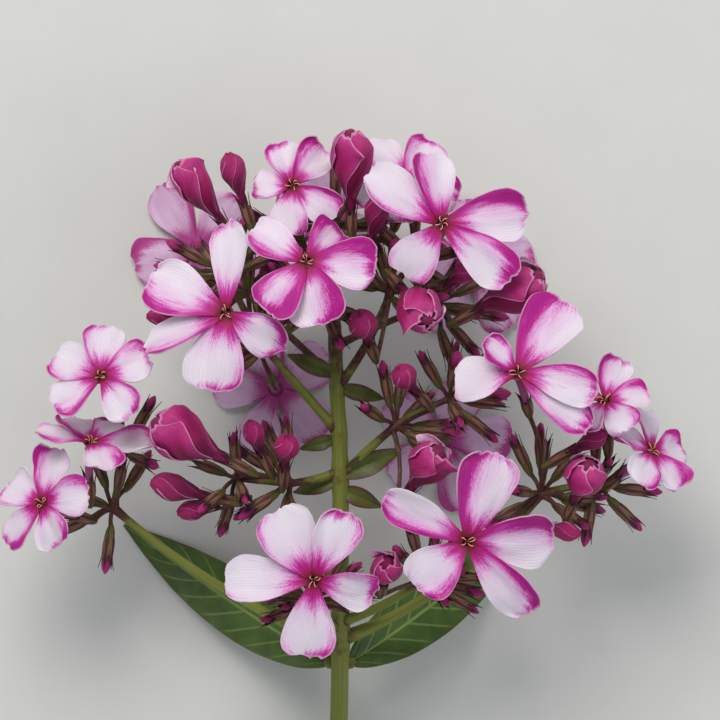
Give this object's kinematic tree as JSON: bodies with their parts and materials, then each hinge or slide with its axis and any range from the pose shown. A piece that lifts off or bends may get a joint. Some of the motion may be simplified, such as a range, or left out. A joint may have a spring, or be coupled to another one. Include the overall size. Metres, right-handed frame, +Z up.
{
  "type": "phlox plant",
  "caption": "Cut flowering stem of garden phlox lying on a surface: a broad head of white and magenta blooms, rolled and closed buds, awned calyces, and lance-shaped leaves on the stem",
  "frame": {"origin": "bottom centre of the part's box, on the surface it lies on", "axes": "+X to the right of the flower head, +Y along the stem towards the head's top, +Z up from the surface"},
  "size_m": [0.1588, 0.1704, 0.067],
  "materials": {
    "stem": "satin plant skin",
    "petal": "soft petal",
    "bud": "soft petal",
    "leaf": "satin leaf"
  },
  "bodies": {
    "root": {"stem": "stem", "bloom_left": "petal", "bloom_centre": "petal", "bloom_upper_right": "petal", "bloom_top_right": "petal", "bloom_top_left": "petal", "bloom_right": "petal", "bloom_lower_right": "petal", "bloom_lower_left": "petal", "bloom_far_left": "petal", "bloom_far_left_side": "petal", "bloom_low_far_left": "petal", "bloom_far_right": "petal", "bloom_far_right_side": "petal", "bloom_back_left": "petal", "bloom_back_right": "petal", "bloom_back_centre": "petal", "bloom_back_low": "petal", "bloom_back_top": "petal", "rolled_bud_1": "bud", "rolled_bud_2": "bud", "rolled_bud_3": "bud", "rolled_bud_4": "bud", "rolled_bud_5": "bud", "rolled_bud_6": "bud", "rolled_bud_7": "bud", "rolled_bud_8": "bud", "closed_bud_1": "bud", "closed_bud_2": "bud", "closed_bud_3": "bud", "closed_bud_4": "bud", "closed_bud_5": "bud", "closed_bud_6": "bud", "closed_bud_7": "bud", "closed_bud_8": "bud", "closed_bud_9": "bud", "closed_bud_10": "bud", "closed_bud_11": "bud", "closed_bud_12": "bud", "leaf_low_left": "leaf", "leaf_low_right": "leaf", "leaf_high_left": "leaf", "leaf_high_right": "leaf"}
  },
  "joints": []
}
